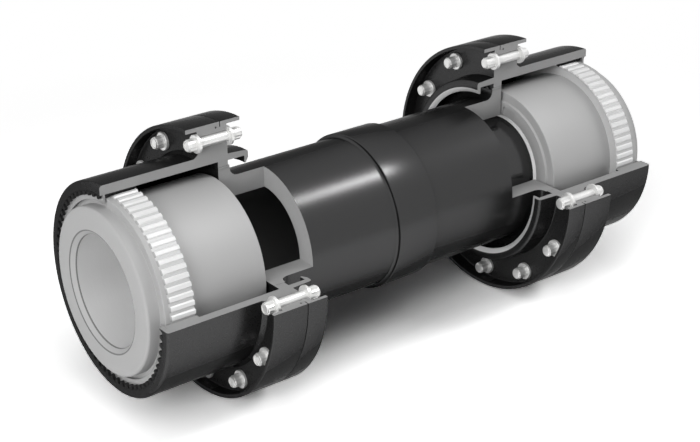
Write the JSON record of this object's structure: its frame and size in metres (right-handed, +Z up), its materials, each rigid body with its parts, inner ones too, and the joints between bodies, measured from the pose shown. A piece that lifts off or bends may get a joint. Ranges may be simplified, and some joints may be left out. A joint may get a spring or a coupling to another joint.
{
  "type": "gear coupling",
  "caption": "Flanged gear coupling cut open to show its teeth: crowned hub gears tilt in toothed sleeves, joined by a splined hollow spacer shaft.",
  "frame": {"origin": "on the coupling's axis, at mid length of the spacer shaft", "axes": "+X along the axis toward the right hub, +Z up; the milled quarter is toward -Y and +Z"},
  "size_m": [0.994, 0.43, 0.43],
  "materials": {
    "machined_steel": "turned",
    "black_paint": "satin",
    "grey_plate": "milled",
    "seal_rubber": "matte",
    "bright_steel": "plated",
    "dark_shaft": "satin gloss",
    "dark_polish": "gloss"
  },
  "bodies": {
    "left_hub": {"left_hub": "machined_steel"},
    "left_flange": {"left_sleeve": "black_paint", "left_flange_ring": "black_paint", "left_retaining_plate": "grey_plate", "left_seal": "seal_rubber", "left_bolts": "bright_steel", "left_nuts": "bright_steel"},
    "spacer": {"spacer_shaft": "dark_shaft", "shaft_plug": "dark_polish"},
    "right_flange": {"right_sleeve": "black_paint", "right_flange_ring": "black_paint", "right_retaining_plate": "grey_plate", "right_seal": "seal_rubber", "right_bolts": "bright_steel", "right_nuts": "bright_steel"},
    "right_hub": {"right_hub": "machined_steel"}
  },
  "joints": [
    {"name": "left_mesh_tilt", "type": "hinge", "parent": "left_hub", "child": "left_flange", "pos_m": [-0.4475, 0, 0], "axis": [0, 1, 0], "range_deg": [-0.5, 0.5]},
    {"name": "left_spline_float", "type": "slide", "parent": "left_flange", "child": "spacer", "axis": [1, 0, 0], "range_m": [-0.001, 0.001]},
    {"name": "right_spline_float", "type": "slide", "parent": "spacer", "child": "right_flange", "axis": [1, 0, 0], "range_m": [-0.001, 0.001]},
    {"name": "right_mesh_tilt", "type": "hinge", "parent": "right_flange", "child": "right_hub", "pos_m": [0.4475, 0, 0], "axis": [0, 1, 0], "range_deg": [-0.5, 0.5]}
  ]
}
